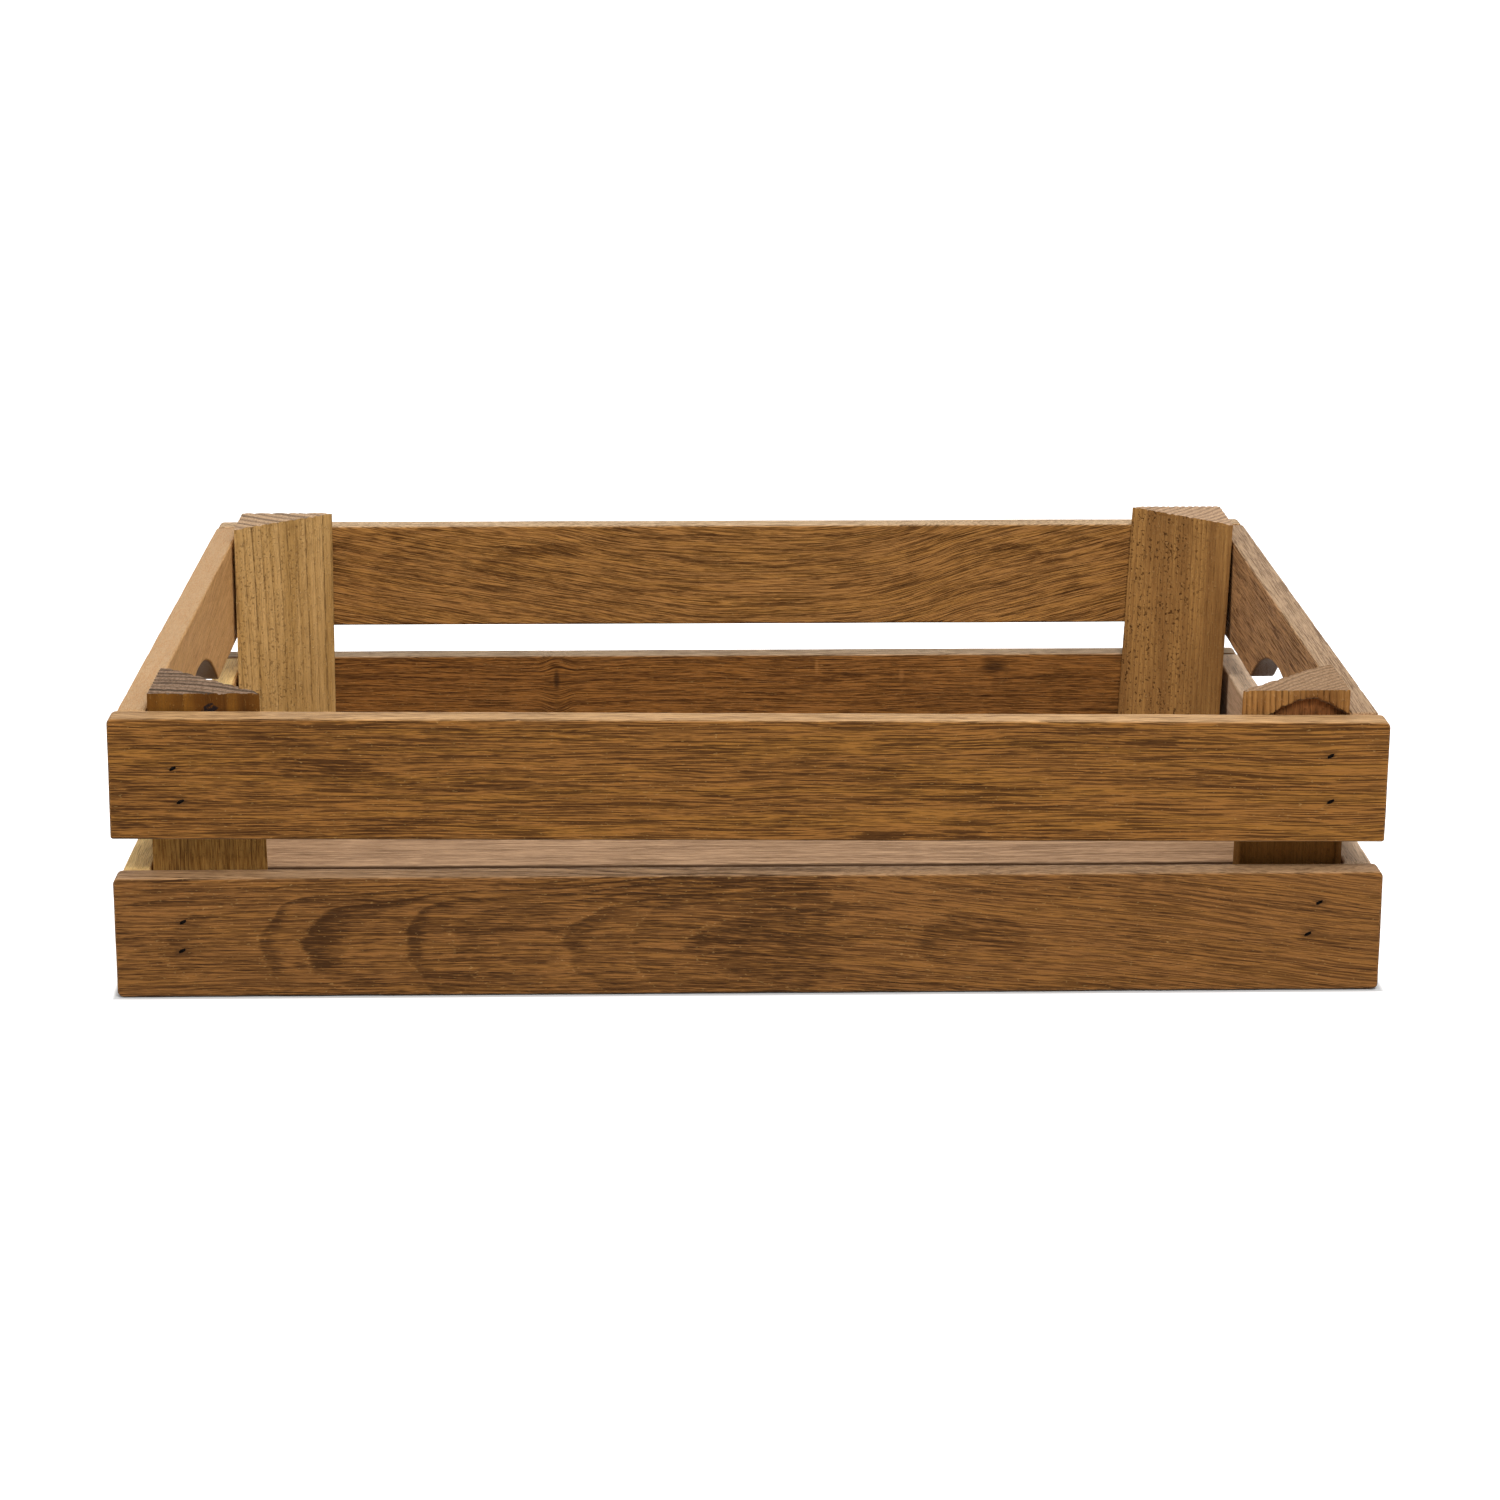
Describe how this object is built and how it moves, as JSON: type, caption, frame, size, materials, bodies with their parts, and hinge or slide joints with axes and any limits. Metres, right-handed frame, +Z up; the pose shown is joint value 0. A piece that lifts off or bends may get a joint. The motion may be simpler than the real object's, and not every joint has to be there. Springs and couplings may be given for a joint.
{
  "type": "slatted wooden crate",
  "caption": "Shallow open slatted oak crate with triangular corner posts standing above the walls, a slatted floor and an arched hand hold in each end, for carrying, storing or serving goods",
  "frame": {"origin": "on the ground under the middle of the crate", "axes": "+X along the long slats to the right as seen from the front, +Y from front to back, +Z up"},
  "size_m": [0.4002, 0.3, 0.0979],
  "materials": {
    "front_oak": "planed and lightly sanded oak, mid brown, open pores, no gloss",
    "back_oak": "planed oak, darker brown with wild grain and small knots, no gloss",
    "end_oak": "planed oak, paler tan on one end and browner on the other, no gloss",
    "floor_oak": "planed pale oak, no gloss",
    "post_wood": "rough sawn oak with torn fibres and ridged end grain",
    "brad_steel": "dulled bright steel wire"
  },
  "bodies": {
    "root": {"front_lower_slat": "front_oak", "front_upper_slat": "front_oak", "back_lower_slat": "back_oak", "back_upper_slat": "back_oak", "left_lower_slat": "end_oak", "left_upper_slat": "end_oak", "right_lower_slat": "end_oak", "right_upper_slat": "end_oak", "floor_slat_1": "floor_oak", "floor_slat_2": "floor_oak", "floor_slat_3": "floor_oak", "floor_slat_4": "floor_oak", "floor_slat_5": "floor_oak", "floor_slat_6": "floor_oak", "front_left_post": "post_wood", "front_right_post": "post_wood", "back_left_post": "post_wood", "back_right_post": "post_wood", "front_lower_brad_left_1": "brad_steel", "front_lower_brad_left_2": "brad_steel", "front_lower_brad_right_1": "brad_steel", "front_lower_brad_right_2": "brad_steel", "front_upper_brad_left_1": "brad_steel", "front_upper_brad_left_2": "brad_steel", "front_upper_brad_right_1": "brad_steel", "front_upper_brad_right_2": "brad_steel", "back_lower_brad_left_1": "brad_steel", "back_lower_brad_left_2": "brad_steel", "back_lower_brad_right_1": "brad_steel", "back_lower_brad_right_2": "brad_steel", "back_upper_brad_left_1": "brad_steel", "back_upper_brad_left_2": "brad_steel", "back_upper_brad_right_1": "brad_steel", "back_upper_brad_right_2": "brad_steel", "left_lower_brad_left_1": "brad_steel", "left_lower_brad_left_2": "brad_steel", "left_lower_brad_right_1": "brad_steel", "left_lower_brad_right_2": "brad_steel", "left_upper_brad_left_1": "brad_steel", "left_upper_brad_left_2": "brad_steel", "left_upper_brad_right_1": "brad_steel", "left_upper_brad_right_2": "brad_steel", "right_lower_brad_left_1": "brad_steel", "right_lower_brad_left_2": "brad_steel", "right_lower_brad_right_1": "brad_steel", "right_lower_brad_right_2": "brad_steel", "right_upper_brad_left_1": "brad_steel", "right_upper_brad_left_2": "brad_steel", "right_upper_brad_right_1": "brad_steel", "right_upper_brad_right_2": "brad_steel"}
  },
  "joints": []
}
